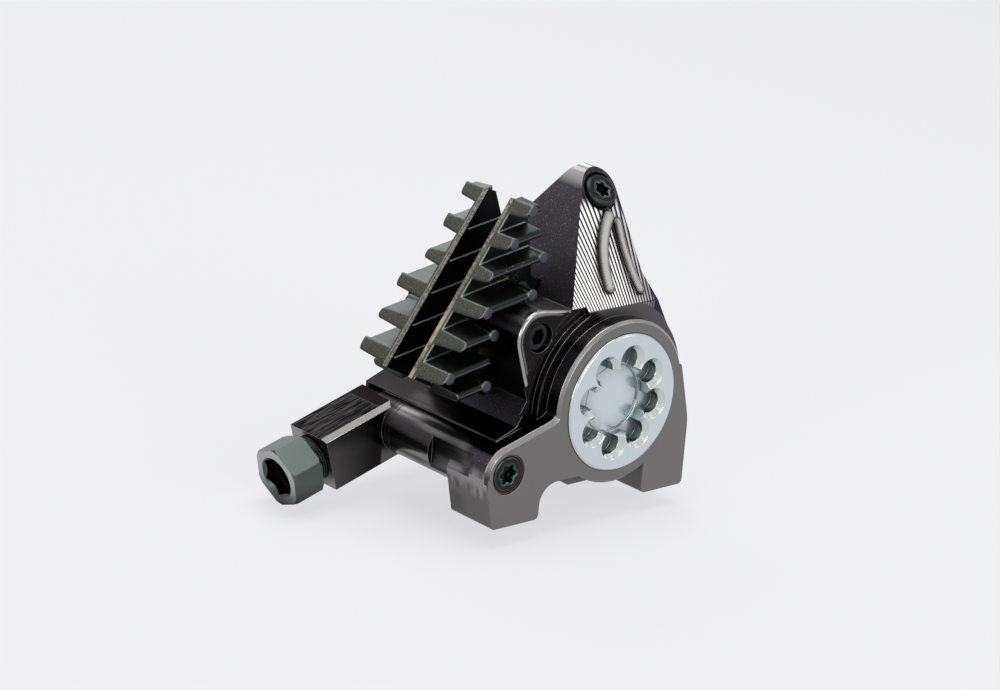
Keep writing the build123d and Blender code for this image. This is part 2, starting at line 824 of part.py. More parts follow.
def near_fins():
    """Fin base and fins of the near pad, cast in one piece and ground flush at the outer edge."""
    outer = rotor_offset - plate_outer_half
    long = 2 * pad_outer_reach
    outline = plate_outline() - axle_slot()
    for along, out in rivet_places():
        outline -= Pos(along, out) * Circle(rivet_head_radius + seat_gap)
    neck = Pos(0, fin_base_start - long / 2) * Rectangle(2 * long, long)
    fins = pad_slab(outline - neck, outer, outer + fin_base)
    turn = radians(fin_angle - pad_angle)
    places = [
        (fin_first - k * fin_pitch, pad_outer_reach, fin_run_lengths[k], k) for k in range(fin_count)
    ]
    for along, out, run, k in places:
        height = short_fin_height if k < short_fin_count else long_fin_height
        fins += fin_shape(along, out, run, height)
        inset = pillar_radius if k % 2 else run
        if k == 0:
            inset = pillar_radius
        fins += pillar(along + inset * cos(turn), out + inset * sin(turn), height)
        if k == short_fin_count:
            fins += pillar(along + run * cos(turn), out + run * sin(turn), height)
    low_out = pad_outer_reach - low_fin_drop
    fins += fin_shape(-low_fin_place, low_out, low_fin_run, long_fin_height)
    end = (-low_fin_place + low_fin_run * cos(turn), low_out + low_fin_run * sin(turn))
    fins += pillar(*end, long_fin_height)
    ground = pad_slab(
        Pos(0, pad_outer_reach + long / 2) * Rectangle(2 * long, long),
        outer - 2 * long_fin_height,
        rotor_offset,
    )
    return fins - ground


def near_rivets():
    """Two rivets through the fin base and the plate, with flush heads in the fin base."""
    outer = rotor_offset - plate_outer_half
    rivets = []
    for along, out in rivet_places():
        x, z = pad_place(along, out)
        shank = rod(x, z, rivet_radius, outer, rotor_offset - plate_gap / 2)
        rivets.append(shank + rod(x, z, rivet_head_radius, outer, outer + fin_base - seat_gap))
    return rivets


def pad_spring():
    """Folded leaf spring on the axle, drawn closed: two wings and the fold that joins them."""
    half = plate_gap / 2 - pad_travel - spring_gap
    wide = 2 * spring_half_width
    leaf = Pos(axle_shift, (spring_low + spring_high) / 2) * Rectangle(wide, spring_high - spring_low)
    leaf -= Pos(axle_shift, axle_out) * Circle(axle_radius + spring_gap)
    wing = pad_slab(leaf, rotor_offset - half, rotor_offset - half + spring_thickness)
    edge = Pos(axle_shift, spring_high - spring_thickness / 2) * Rectangle(wide, spring_thickness)
    fold = pad_slab(edge, rotor_offset - half, rotor_offset + half)
    return wing + fold + mirrored(wing)


def pad_axle():
    """Axle with a socket head in the near ear and a groove for the clip behind the far one."""
    x, z = pad_place(axle_shift, axle_out)
    head_low = block_front + axle_sink
    end = block_rear + 2 * clip_thickness + clip_groove_depth
    axle = rod(x, z, axle_radius, head_low, end)
    axle += rod(x, z, axle_head_radius, head_low, head_low + axle_head_length)
    axle = chamfer(axle.edges().group_by(Axis.Y)[0], axle_edge)
    axle -= tube(
        x, z, axle_radius + overrun, axle_radius - clip_groove_depth,
        block_rear + seat_gap, block_rear + clip_thickness + seat_gap + clip_play,
    )
    socket = Pos(x, z) * RegularPolygon(axle_socket_flats / 2, hex_sides, major_radius=False)
    return axle - slab(socket, head_low - overrun, head_low + socket_depth)


def pad_axle_clip():
    """Open snap ring in the axle's groove, against the far ear."""
    x, z = pad_place(axle_shift, axle_out)
    low = block_rear + seat_gap + clip_play / 2
    ring = tube(x, z, clip_radius, axle_radius - clip_groove_depth + seat_gap, low, low + clip_thickness)
    mouth = Pos(x, z - clip_radius) * Rectangle(axle_radius, 2 * clip_radius)
    return ring - slab(mouth, low - overrun, low + clip_thickness + overrun)


def bleed_screw():
    """Screw with a rounded head, a six-lobe socket and a conical tip."""
    head = bleed_plane(0) * Cylinder(
        bleed_head_radius, bleed_head_length - bleed_seat_depth, align=standing
    )
    rim = head.edges().filter_by(GeomType.CIRCLE).sort_by(Axis((0, 0, 0), tuple(bleed_plane().z_dir)))[-1]
    head = fillet([rim], bleed_head_edge)
    shank = bleed_plane(bleed_length) * Cylinder(
        bleed_thread_radius, bleed_length, align=standing
    )
    tip = bleed_plane(bleed_length + bleed_cone) * Cone(
        drilling_radius / 2, bleed_thread_radius, bleed_cone, align=standing
    )
    screw = head + shank + tip
    top = bleed_plane(-bleed_head_length + bleed_seat_depth + socket_depth)
    return screw - extrude(top * six_lobe(bleed_socket_radius), amount=socket_depth + overrun)


def bleed_screw_seal():
    """Rubber ring round the screw's neck, in the bottom of its seat."""
    radius = bleed_thread_radius + seat_gap + bleed_seal_section
    middle = bleed_plane(bleed_seat_depth - bleed_seal_section - seat_gap / 2)
    return middle * Torus(radius, bleed_seal_section)


def passage_plug():
    """Plug screw with a flush head and a six-lobe socket."""
    low = front_y + plug_sink
    plug = rod(lug_x, lug_z, plug_head_radius, low, low + plug_head_length)
    plug = chamfer(plug.edges().group_by(Axis.Y)[0], plug_edge)
    plug += rod(lug_x, lug_z, plug_thread_radius, low, front_y + plug_length - seat_gap)
    return plug - slab(Pos(lug_x, lug_z) * six_lobe(plug_socket_radius), low - overrun, low + socket_depth)


def passage_plug_seal():
    """Thin ring round the plug's head."""
    low = front_y + 2 * plug_sink
    outer = plug_head_radius + plug_seal_section
    return tube(lug_x, lug_z, outer, plug_head_radius + seat_gap / 2, low, low + plug_head_length - plug_sink)


def nut_hexagon(flats):
    """Outline of the nut or of its mouth, turned as it was left when tightened."""
    return Rot(0, 0, nut_turn) * RegularPolygon(flats / 2, hex_sides, major_radius=False)


def hose_nut():
    """Hexagon nut with a long neck, a hexagonal mouth and a through hole for the hose."""
    plane = arm_plane()
    start = arm_length + nut_standoff
    hexagon = extrude(
        plane * Pos(0, 0, start) * nut_hexagon(nut_flats), amount=nut_length
    )
    round_off = plane * Pos(0, 0, start) * Cylinder(
        nut_flats / 2 / cos(radians(full_turn / hex_sides / 2)) + seat_gap, nut_length,
        align=standing,
    )
    ends = round_off.edges().filter_by(GeomType.CIRCLE)
    hexagon = hexagon & chamfer(ends, nut_chamfer)
    neck = plane * Pos(0, 0, arm_length - nut_thread_length) * Cylinder(
        nut_thread_radius, nut_thread_length + nut_standoff, align=standing
    )
    nut = hexagon + neck
    nut -= plane * Cylinder(hose_hole_radius, 2 * start, align=standing)
    mouth_start = start + nut_length - nut_socket_depth
    mouth = plane * Pos(0, 0, mouth_start) * nut_hexagon(nut_socket_flats)
    nut -= extrude(mouth, amount=nut_socket_depth + overrun)
    lead = plane * Pos(0, 0, start + nut_length - nut_socket_chamfer) * Cone(
        nut_socket_flats / 2, nut_socket_flats / 2 + 2 * nut_socket_chamfer, 2 * nut_socket_chamfer,
        align=standing,
    )
    return nut - lead


def hose_olive():
    """Compression ring that the nut presses on the hose, tapered at both ends."""
    plane = arm_plane()
    end = arm_length - nut_thread_length
    ring = plane * Pos(0, 0, end - olive_length) * Cylinder(
        olive_radius, olive_length, align=standing
    )
    ring = chamfer(ring.edges().filter_by(GeomType.CIRCLE), olive_taper)
    return ring - plane * Cylinder(hose_hole_radius, end + overrun, align=standing)


def as_solids(shape):
    """One solid, or several that share a node."""
    if isinstance(shape, list):
        return Compound(children=[s.solid() for s in shape])
    solids = shape.solids()
    return solids[0] if len(solids) == 1 else Compound(children=list(solids))


def main():
    parts = {
        "caliper_body": caliper_body(),
        "bore_cap": bore_cap(),
        "bore_cap_seal": bore_cap_seal(),
        "piston_near": near_piston(),
        "piston_far": mirrored(near_piston()),
        "piston_seal_near": near_piston_seal(),
        "piston_seal_far": mirrored(near_piston_seal()),
        "pad_backplate_near": near_backplate(),
        "pad_backplate_far": mirrored(near_backplate()),
        "pad_friction_near": near_friction(),
        "pad_friction_far": mirrored(near_friction()),
        "pad_fins_near": near_fins(),
        "pad_fins_far": mirrored(near_fins()),
        "fin_rivets_near": near_rivets(),
        "fin_rivets_far": [mirrored(rivet) for rivet in near_rivets()],
        "pad_spring": pad_spring(),
        "pad_axle": pad_axle(),
        "pad_axle_clip": pad_axle_clip(),
        "bleed_screw": bleed_screw(),
        "bleed_screw_seal": bleed_screw_seal(),
        "passage_plug": passage_plug(),
        "passage_plug_seal": passage_plug_seal(),
        "hose_nut": hose_nut(),
        "hose_olive": hose_olive(),
    }
    os.makedirs("parts", exist_ok=True)
    for name, shape in parts.items():
        export_step(as_solids(shape), f"parts/{name}.step")


main()
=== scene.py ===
import math
import bpy
from mathutils import Matrix, Vector


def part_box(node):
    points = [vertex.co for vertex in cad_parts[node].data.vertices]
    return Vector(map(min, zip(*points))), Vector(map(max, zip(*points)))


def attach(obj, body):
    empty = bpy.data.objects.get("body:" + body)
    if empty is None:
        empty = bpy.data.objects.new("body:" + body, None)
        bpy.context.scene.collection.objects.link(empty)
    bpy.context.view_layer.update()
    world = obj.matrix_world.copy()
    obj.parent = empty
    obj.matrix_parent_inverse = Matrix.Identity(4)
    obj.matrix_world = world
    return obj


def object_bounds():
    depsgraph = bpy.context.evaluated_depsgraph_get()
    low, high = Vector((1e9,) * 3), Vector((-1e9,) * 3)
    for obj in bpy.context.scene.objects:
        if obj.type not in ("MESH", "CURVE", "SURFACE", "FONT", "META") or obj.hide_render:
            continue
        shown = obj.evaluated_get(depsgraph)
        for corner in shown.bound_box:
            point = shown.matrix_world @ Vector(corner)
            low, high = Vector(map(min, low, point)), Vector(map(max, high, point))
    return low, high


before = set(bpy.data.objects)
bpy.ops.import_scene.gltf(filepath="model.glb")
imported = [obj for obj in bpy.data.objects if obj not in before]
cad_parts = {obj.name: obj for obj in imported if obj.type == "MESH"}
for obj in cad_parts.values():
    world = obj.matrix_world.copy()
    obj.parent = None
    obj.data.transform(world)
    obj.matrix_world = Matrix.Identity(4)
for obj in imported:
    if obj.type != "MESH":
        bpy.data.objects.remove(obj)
cad_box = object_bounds()
bpy.ops.object.select_all(action="DESELECT")

# Caliper body: one machined block of aluminium, anodised dark after machining. The outer front faces
# are satin, the rest is glossy with cutter lines, a painted highlight runs along the edges, and the
# tower's sloping face is milled in stripes. Each region is found by the way its surface faces and by
# its place.


def colour(text):
    """A screen colour as the linear values that the shader wants."""
    parts = [int(text[i:i + 2], 16) / 255 for i in (1, 3, 5)]
    return tuple(p / 12.92 if p <= 0.04045 else ((p + 0.055) / 1.055) ** 2.4 for p in parts) + (1.0,)


def join(socket, value):
    """Links an output into a socket, or sets the socket to a number, vector or screen colour."""
    if isinstance(value, bpy.types.NodeSocket):
        socket.id_data.links.new(value, socket)
    elif isinstance(value, str):
        socket.default_value = colour(value)
    else:
        socket.default_value = value


def add(tree, kind, inputs, output=0, **settings):
    """Adds a node with its settings and links, and gives back one of its outputs."""
    node = tree.nodes.new("ShaderNode" + kind)
    for name, value in settings.items():
        setattr(node, name, value)
    for name, value in inputs.items():
        join(node.inputs[name], value)
    return node.outputs[output]


class Look:
    """A material's shader, with masks and patterns that run from 0 to 1. Places are in metres."""

    def __init__(self, name, base, metallic=1.0, roughness=0.35, edge=0.0):
        self.material = bpy.data.materials.new(name)
        self.material.use_nodes = True
        self.tree = self.material.node_tree
        self.shader = self.tree.nodes["Principled BSDF"]
        self.put("Base Color", base)
        self.put("Metallic", metallic)
        self.put("Roughness", roughness)
        self.place = add(self.tree, "TexCoord", {}, "Object")
        self.normal = add(self.tree, "NewGeometry", {}, "Normal")
        self.round = None
        if edge:
            self.round = add(self.tree, "Bevel", {"Radius": edge}, "Normal", samples=6)
            self.put("Normal", self.round)

    def put(self, socket, value):
        join(self.shader.inputs[socket], value)

    def along(self, vector, way):
        """How far a vector reaches along a way."""
        return add(self.tree, "VectorMath", {0: vector, 1: way}, "Value", operation="DOT_PRODUCT")

    def faces(self, way):
        """How squarely the surface faces a way: 1 is straight towards it."""
        return self.along(self.normal, way)

    def around(self, axis):
        """The distance from a line that runs along Y."""
        away = add(self.tree, "VectorMath", {0: self.place, 1: axis}, operation="SUBTRACT")
        flat = add(self.tree, "VectorMath", {0: away, 1: (1, 0, 1)}, operation="MULTIPLY")
        return add(self.tree, "VectorMath", {0: flat}, "Value", operation="LENGTH")

    def lines(self, value, pitch):
        """Crests and troughs, one pair in every pitch."""
        turn = add(self.tree, "Math", {0: value, 1: math.pi / pitch}, operation="MULTIPLY")
        wave = add(self.tree, "Math", {0: turn}, operation="SINE")
        return add(self.tree, "Math", {0: wave}, operation="ABSOLUTE")

    def above(self, value, low, soft):
        """1 where a value is well past a limit, over a border as wide as soft."""
        past = add(self.tree, "Math", {0: value, 1: low}, operation="SUBTRACT")
        return add(self.tree, "Math", {0: past, 1: soft}, operation="DIVIDE", use_clamp=True)

    def below(self, value, high, soft):
        """1 where a value is well short of a limit."""
        short = add(self.tree, "Math", {0: high, 1: value}, operation="SUBTRACT")
        return add(self.tree, "Math", {0: short, 1: soft}, operation="DIVIDE", use_clamp=True)

    def between(self, value, low, high, soft):
        return self.all(self.above(value, low, soft), self.below(value, high, soft))

    def all(self, first, *others):
        """1 only where every mask is. A number among them weakens the rest."""
        for mask in others:
            first = add(self.tree, "Math", {0: first, 1: mask}, operation="MULTIPLY")
        return first

    def any(self, first, *others):
        """1 where one of the masks is."""
        for mask in others:
            first = add(self.tree, "Math", {0: first, 1: mask}, operation="MAXIMUM")
        return first

    def other(self, mask):
        """1 where the mask is 0, and 0 where it is 1."""
        return add(self.tree, "Math", {0: 1.0, 1: mask}, operation="SUBTRACT")

    def edges(self, gain):
        """Where the rounded normal leaves the flat one, which is along the edges."""
        off = self.other(self.along(self.normal, self.round))
        return add(self.tree, "Math", {0: off, 1: gain}, operation="MULTIPLY", use_clamp=True)

    def patches(self, size, detail=4.0, stretch=(1, 1, 1)):
        """A random pattern in patches of a size in millimetres, which a stretch under 1 draws out."""
        drawn = add(self.tree, "Mapping", {"Vector": self.place, "Scale": stretch})
        facts = {"Vector": drawn, "Scale": 1000 / size, "Detail": detail}
        return add(self.tree, "TexNoise", facts, "Fac")

    def layers(self, first, *others, kind="RGBA"):
        """Colours laid over one another, each with its mask, or numbers or vectors by their kind."""
        under, over, result = {"RGBA": (6, 7, 2), "FLOAT": (2, 3, 0), "VECTOR": (4, 5, 1)}[kind]
        for mask, value in others:
            facts = {0: mask, under: first, over: value}
            first = add(self.tree, "Mix", facts, result, data_type=kind)
        return first

    def relief(self, height, distance, strength=0.5):
        """Raises the surface by a pattern, on top of the rounded edges."""
        facts = {"Height": height, "Distance": distance, "Strength": strength}
        if self.round:
            facts["Normal"] = self.round
        self.put("Normal", add(self.tree, "Bump", facts, "Normal"))

    def worn(self, size, low, high):
        """Roughness that drifts between two values in patches of a size in millimetres."""
        self.put("Roughness", self.layers(low, (self.patches(size), high), kind="FLOAT"))

    def dress(self, *names):
        """Gives CAD nodes this material."""
        for name in names:
            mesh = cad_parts[name].data
            mesh.materials.clear()
            mesh.materials.append(self.material)


def middle(name):
    """The middle of the box round a CAD node."""
    low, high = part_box(name)
    return (Vector(low) + Vector(high)) / 2


# What the body's masks measure. A border between two finishes that looks sharp is as wide as crisp.
crisp = 0.0001
bore_axis = middle("bore_cap")
body = Look("aluminium anodised dark grey", "#3a3839", 1.0, 0.3, 0.00022)
x, y, z = add(body.tree, "SeparateXYZ", {0: body.place}).node.outputs
reach = body.around(bore_axis)
front = body.faces((0, -1, 0))
left = body.faces((-1, 0, 0))
up = body.faces((0, 0, 1))
right_and_up = body.along(body.place, (1, 0, 1))
arch = add(body.tree, "Bevel", {"Radius": 0.0009}, "Normal", samples=6)

# The front: its outer face, the chamfers of the boss with a painted highlight where they face up, a
# painted highlight on the lip round the cap, the dark cone behind them and a painted highlight on the
# ear's rim. The back is the far half's outer face.
front_y, boss_y = -0.0030, -0.0043
lip_reach = (0.0125, 0.0152)
cone_y, cone_from = (-0.0044, -0.0018), 0.026
rim_y, ear_x = (-0.0023, -0.0012), (-0.03, -0.0062)
facing = body.above(front, 0.97, 0.02)
outer = body.below(y, front_y, crisp)
is_front = body.all(facing, outer)
is_back = body.below(front, -0.97, 0.02)
chamfer = body.between(front, 0.6, 0.8, 0.03)
at_boss = body.below(y, boss_y, crisp)
# Painted highlight: the boss's chamfers are painted bright only where they face up.
upper_chamfer_highlight = body.all(chamfer, at_boss, body.above(up, 0.0, 0.35))
# Painted highlight on the lip's chamfer round the cap.
lip_highlight = body.all(chamfer, at_boss, body.between(reach, *lip_reach, 0.0002))
is_cone = body.all(chamfer, body.between(y, *cone_y, crisp), body.above(right_and_up, cone_from, 0.01))
# Painted highlight on the ear's rim.
rim_highlight = body.all(body.between(front, 0.25, 0.93, 0.05), body.between(y, *rim_y, crisp),
                  body.between(x, *ear_x, 0.001))

# The sides: the lower left, painted lighter with streaks as reflection, the crown of the tower with a
# painted reflection, the feet, the tower's left flank, the turned valley round the boss with a
# crescent of painted light, and painted highlights in a band round the ear and on the ear's top.
left_z, left_y = 0.0125, 0.012
crown_z, foot_z = 0.0512, 0.0062
flank_way = (-0.859, 0, 0.512)
valley_y, valley_reach, band_from = (-0.0029, 0.002), 0.0205, 0.033
ear_axis, ear_hole, ear_y = middle("pad_axle"), 0.0034, (-0.0029, -0.0010)
ear_top_x, ear_top_z = (-0.0165, 0.0015), (0.0285, 0.0365)
# Painted reflection: the lower left faces are painted lighter, with streaks.
is_left = body.all(body.above(left, 0.55, 0.35), body.below(z, left_z, 0.004),
                   body.below(y, left_y, 0.004))
# Painted reflection on the crown of the tower.
crown_reflection = body.all(body.above(z, crown_z, 0.0012), body.above(left, -0.3, 0.3))
is_foot = body.below(z, foot_z, 0.0015)
flank = body.above(body.faces(flank_way), 0.93, 0.05)
valley = body.all(facing, body.between(y, *valley_y, crisp), body.below(reach, valley_reach, 0.0006))
# Painted light: the valley's crescent at the upper right is painted lighter.
lit_crescent = body.all(valley, body.above(right_and_up, band_from, 0.002))
curl = body.other(body.along(body.normal, arch))
# Painted highlight in a band along the ear's outline.
ear_edge_highlight = body.all(body.above(curl, 0.002, 0.006),
                    body.above(body.around(ear_axis), ear_hole, 0.0002),
                    facing, body.between(y, *ear_y, crisp),
                    body.between(x, *ear_x, 0.001), body.above(reach, valley_reach, 0.0003))
# Painted highlight on the ear's top.
ear_top_highlight = body.all(body.above(up, 0.55, 0.25), body.between(x, *ear_top_x, 0.002),
                   body.between(z, *ear_top_z, 0.001))

# The slope, which the cutter crossed in a fan of stripes that also runs on to the flat beside the
# boss, and the two round ribs that stand on it, whose roundness is painted as light and shade. The
# stripes fade into painted shade to the right, painted shade darkens the hollows round the ribs, and
# the right chamfer carries a painted dark violet reflection.
slope_way, slope_foot, rib_foot = (0, -0.8425, 0.5388), 0.0336, 0.00215
beside_reach, beside_z, beside_x = 0.0168, 0.0275, -0.0005
chamfer_lean, chamfer_x = 0.09, 0.01682
ribs_z, stripes_top = (0.0345, 0.0485), 0.0485
stripe_pitch, fan, fan_x, fan_z = 0.00078, 32.0, 0.0085, 0.042
shade_lean, shade_x = -0.12, 0.0015
into_slope = (0, -slope_way[1], -slope_way[2])
sunk = body.above(body.along(body.place, into_slope), -rib_foot - slope_foot * slope_way[2], crisp)
on_slope = body.all(body.above(body.faces(slope_way), 0.97, 0.01), body.above(z, slope_foot, 0.0002))
beside = body.all(facing, body.other(outer), body.above(reach, beside_reach, 0.00008),
                  body.above(z, beside_z, crisp), body.above(x, beside_x, crisp))
is_milled = body.any(body.all(on_slope, sunk), beside)
# Painted reflection: the chamfer at the right is painted dark violet.
right_chamfer = body.above(body.along(body.place, (1, 0, chamfer_lean)), chamfer_x, crisp)
is_rib = body.all(body.other(sunk), body.between(z, *ribs_z, 0.0002), body.above(front, 0.1, 0.05))
# Painted light and shade: the ribs are lighter where they face the slope's way, darker at their sides.
rib_light = body.along(arch, slope_way)
lean = add(body.tree, "Math", {0: x, 1: fan, 2: -fan * fan_x}, operation="MULTIPLY_ADD")
rise = add(body.tree, "Math", {0: z, 1: fan_z}, operation="SUBTRACT")
across = add(body.tree, "Math", {0: x, 1: body.all(rise, lean)}, operation="SUBTRACT")
cutter = body.lines(across, stripe_pitch)
# Painted shade: the stripes fade darker towards the right.
stripe_shade = body.above(body.along(body.place, (1, 0, shade_lean)), shade_x, 0.009)
stripe = body.layers("#1e1c1d",
                     (body.above(cutter, 0.4, 0.45), body.layers("#e9e7e5", (stripe_shade, "#68646b"))),
                     (body.all(right_chamfer, is_milled), "#2d2042"),
                     (body.above(z, stripes_top, 0.0015), "#2f2d30"))
# Painted shade: the slope turns near black where the ribs and walls close it in.
slope_occlusion = add(body.tree, "AmbientOcclusion", {"Distance": 0.0016}, "AO", samples=6)
slope_unshaded = add(body.tree, "Math", {0: slope_occlusion, 1: 3.0}, operation="POWER")
stripe = body.layers("#0d0c0d", (slope_unshaded, stripe))

# The hose arm, its cut strip, the tube before it and the deck behind the tube.
arm_tilt = math.radians(17)
arm_out = Vector((-math.cos(arm_tilt), 0, -math.sin(arm_tilt)))
arm_up = Vector((-math.sin(arm_tilt), 0, math.cos(arm_tilt)))
arm_x, strip_way = -0.0236, (-0.2867, -0.1961, 0.9377)
tube_y, tube_x, deck_z = (0.0005, 0.022), (-0.0245, -0.017), (0.011, 0.019)
on_arm = body.below(x, arm_x, 0.0003)
arm_top = body.all(on_arm, body.above(body.faces(arm_up), 0.985, 0.005))
arm_end = body.all(on_arm, body.above(body.faces(arm_out), 0.97, 0.01))
arm_side = body.all(on_arm, facing)
strip = body.above(body.faces(strip_way), 0.996, 0.001)
tube = body.all(body.between(y, *tube_y, 0.002), body.between(x, *tube_x, 0.0008),
                body.above(up, -0.3, 0.2), body.other(facing))
# The deck's colour is painted near black as shade.
deck = body.all(body.above(up, 0.9, 0.05), body.between(z, *deck_z, 0.0005), body.other(on_arm))

# Wear of all kinds: a drift in patches of 5 mm, turning lines, specks and dust of 0.2 to 0.4 mm, and
# scratches drawn out along the faces. Streaks and smears, drawn out the same way, are painted
# reflections. The turning lines are finer on the real one, and are drawn as coarse as they need to
# show.
turning_pitch = 0.0006
wear = body.patches(5.56, 6.0, (1, 0.2, 1))
turned = body.lines(reach, turning_pitch)
speck = body.above(body.patches(0.2, 2.0), 0.62, 0.05)
dust = body.all(body.above(body.patches(0.385, 2.0), 0.67, 0.04),
                body.above(body.patches(7.14, 2.0), 0.5, 0.1), body.above(x, -0.019, 0.003))
painted_streak = body.above(body.patches(1.11, 3.0, (1, 1, 0.06)), 0.4, 0.25)
scratch = body.above(body.patches(0.385, 4.0, (0.05, 1, 0.3)), 0.42, 0.3)
painted_smear = body.above(body.patches(3.33, 3.0, (1, 0.1, 1)), 0.45, 0.2)
sheen = body.layers("#242225", (body.patches(11.1, 3.0), "#434044"), (speck, "#6a676a"))

# The colours, each laid over the ones before it, then the sheen, the roughness and the relief.
body.put("Base Color", body.layers(
    "#201e1f",
    # Painted highlight along every edge of the body.
    (body.all(body.edges(6.0), 0.5), "#7f7d7b"),
    (dust, "#6f6d6d"),
    (is_left, body.layers("#5e5c5d", (painted_streak, "#8e8c8c"))),
    (is_foot, "#646262"),
    (is_front, "#777575"),
    (is_back, body.layers("#5c5a5a", (wear, "#7b7979"))),
    (is_cone, "#242223"),
    (lit_crescent, "#575556"),
    (is_rib, body.layers("#232122", (body.above(rib_light, 0.72, 0.25), "#7f7d7c"))),
    (ear_edge_highlight, "#8d8b8a"),
    (rim_highlight, "#a19f9d"),
    (lip_highlight, "#7d7b7a"),
    (flank, sheen),
    (crown_reflection, "#817f7f"),
    (arm_top, body.layers("#100f10", (scratch, "#262425"))),
    (arm_side, body.layers("#1d1b1c", (body.below(x, -0.0255, 0.008), "#4c4a4b"))),
    (arm_end, "#8b8989"),
    # The tube, with smears of painted reflection.
    (tube, body.layers("#383637", (painted_smear, "#767475"))),
    (deck, body.layers("#0d0c0d", (wear, "#2f2d2e"))),
    (ear_top_highlight, "#8d8b8a"),
    (body.any(upper_chamfer_highlight, strip), "#949290"),
    (is_milled, stripe)))
body.put("Specular Tint", body.layers(
    "#ffffff", (deck, "#a0a0a0"), (arm_top, body.layers("#bcbcbc", (scratch, "#eaeaea")))))
satin = body.any(is_foot, is_back, lit_crescent, is_front)
body.put("Roughness", body.layers(
    0.14, (wear, 0.3), (satin, 0.42), (flank, 0.46), (is_milled, 0.3), kind="FLOAT"))
height = body.all(cutter, is_milled)
for more in (body.all(wear, 0.08), body.all(turned, valley, body.other(lit_crescent), 0.5)):
    height = add(body.tree, "Math", {0: height, 1: more}, operation="ADD")
body.round = body.layers(body.round, (is_rib, arch), kind="VECTOR")
body.relief(height, 0.00012, 0.6)
body.dress("caliper_body")

# Bore cap: turned aluminium, clear anodised, slightly blue, screwed into the near bore. Fine turning
# lines run round its axis, and painted shade darkens the scallops and the pocket with their depth.
groove_pitch = 0.00016
cap = Look("aluminium anodised silver", "#b9c1c4", 1.0, 0.24, 0.0002)
angle = add(cap.tree, "Math", {0: cap.around(bore_axis), 1: 2 * math.pi / groove_pitch},
            operation="MULTIPLY")
cap.relief(add(cap.tree, "Math", {0: angle}, operation="SINE"), 0.000003, 0.35)
cone = cap.between(cap.faces((0, -1, 0)), 0.5, 0.9, 0.08)
# Painted shade in the scallops and the pocket.
cap_occlusion = add(cap.tree, "AmbientOcclusion", {"Distance": 0.004}, "AO", samples=8)
cap_unshaded = add(cap.tree, "Math", {0: cap_occlusion, 1: 1.2}, operation="POWER")
cap.put("Base Color", cap.layers("#37433f", (cap_unshaded, "#ced7da"), (cone, "#c9cfcc")))
cap.worn(2.5, 0.14, 0.24)
cap.dress("bore_cap")

# Pad fins: cast aluminium with a grey-green coat. Their upper front edges carry a painted highlight,
# their outer ends are ground, and crumbs of brake dust stick to them. The far pad's coat is painted
# lighter as reflection.
pad_out = Vector((-0.8202, 0, 0.5721))
slot_y = (middle("pad_backplate_near").y + middle("pad_backplate_far").y) / 2
tip_y = 0.0075
highlight_way = (-0.397, -0.433, 0.81)
fins = Look("aluminium cast grey green", "#59605c", 0.85, 0.4, 0.0006)
ground = fins.above(fins.faces(pad_out), 0.97, 0.02)
grain = fins.patches(1.11, 5.0, (1, 1, 0.3))
bare = fins.layers("#34362f", (fins.above(fins.patches(0.2, 2.0), 0.45, 0.3), "#5d5e55"))
fin_y = fins.along(fins.place, (0, 1, 0))
near_coat = fins.layers("#0a0c0b", (grain, "#1a201e"))
# Painted reflection: the far pad's coat is lighter.
far_reflected_coat = fins.layers("#1c2220", (grain, "#39423f"))
crumb = fins.all(fins.above(fins.patches(0.357, 2.0), 0.64, 0.04),
                 fins.above(fins.patches(6.25, 2.0), 0.5, 0.1))
# Painted highlight on the edges that face halfway between the view and the top soft box.
lit_edge = fins.above(fins.along(fins.round, highlight_way), 0.5, 0.35)
off_middle = add(fins.tree, "Math", {0: fin_y, 1: slot_y}, operation="SUBTRACT")
off_middle = add(fins.tree, "Math", {0: off_middle}, operation="ABSOLUTE")
sideways = add(fins.tree, "Math", {0: fins.faces((0, 1, 0))}, operation="ABSOLUTE")
tip = fins.all(fins.above(sideways, 0.97, 0.02), fins.above(off_middle, tip_y, 0.0005))
fins.put("Base Color", fins.layers(
    near_coat,
    (fins.above(fin_y, slot_y, 0.001), far_reflected_coat),
    (crumb, "#77725f"),
    (ground, bare),
    (fins.all(fins.edges(2.6), lit_edge, 0.9), "#a3b5ad"),
    (tip, "#4c4b53")))
fins.put("Roughness", fins.layers(0.3, (grain, 0.5), (ground, 0.45), kind="FLOAT"))
fins.relief(grain, 0.00006, 0.3)
fins.dress("pad_fins_near", "pad_fins_far")

# Pad plates: stamped steel, dark on their faces, with sawn edges that are paler and glint on the
# near plate's middle.
plate = Look("steel stamped dark", "#3a3836", 1.0, 0.38, 0.00015)
glint_z = (0.019, 0.0365)
plate_z = plate.along(plate.place, (0, 0, 1))
plate_y = plate.along(plate.place, (0, 1, 0))
glint = plate.all(plate.between(plate_z, *glint_z, 0.004), plate.below(plate_y, slot_y, 0.001),
                  plate.above(plate.patches(2.38, 3.0), 0.42, 0.12))
sawn = plate.layers("#4b4a43", (plate.above(plate.patches(0.385, 3.0), 0.45, 0.25), "#8f8778"),
                    (glint, "#978b77"))
plate.put("Base Color", plate.layers("#1c1b1d", (plate.above(plate.faces(pad_out), 0.97, 0.02), sawn)))
plate.relief(plate.patches(1.43), 0.00004, 0.3)
plate.dress("pad_backplate_near", "pad_backplate_far")

